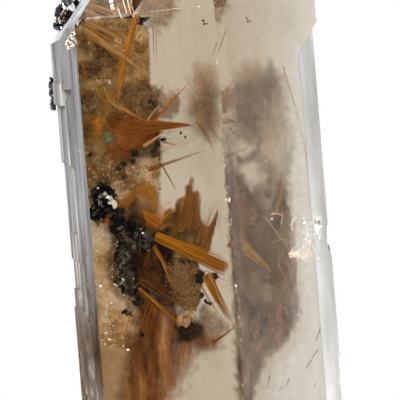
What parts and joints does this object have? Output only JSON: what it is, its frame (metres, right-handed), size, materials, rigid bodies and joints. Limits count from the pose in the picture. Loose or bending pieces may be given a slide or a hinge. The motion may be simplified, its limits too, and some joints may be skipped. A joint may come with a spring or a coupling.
{
  "type": "rutilated smoky quartz crystal",
  "caption": "Tall six-sided smoky quartz crystal with a sloping six-faced end, cut flat at its base, holding sprays of golden and brown rutile needles and black hematite lumps.",
  "frame": {"origin": "middle of the flat base, under the middle of the bounding box", "axes": "+Z along the crystal's long axis towards its pointed end, -Y towards the wide front face and the viewer"},
  "size_m": [0.0407, 0.0358, 0.0995],
  "materials": {
    "quartz": "clear, pale smoky brown, glossy crystal faces",
    "rutile_gold": "silky orange-gold needles",
    "rutile_rust": "rust-brown needles",
    "rutile_brown": "dull brown fine needles",
    "hematite": "black, metallic gloss"
  },
  "bodies": {
    "root": {"quartz_front": "quartz", "quartz_back": "quartz", "rutile_main": "rutile_gold", "rutile_upper": "rutile_rust", "rutile_cloud": "rutile_brown", "rutile_fan": "rutile_brown", "rutile_side": "rutile_brown", "hematite_core": "hematite", "hematite_top": "hematite", "hematite_edge": "hematite"}
  },
  "joints": []
}
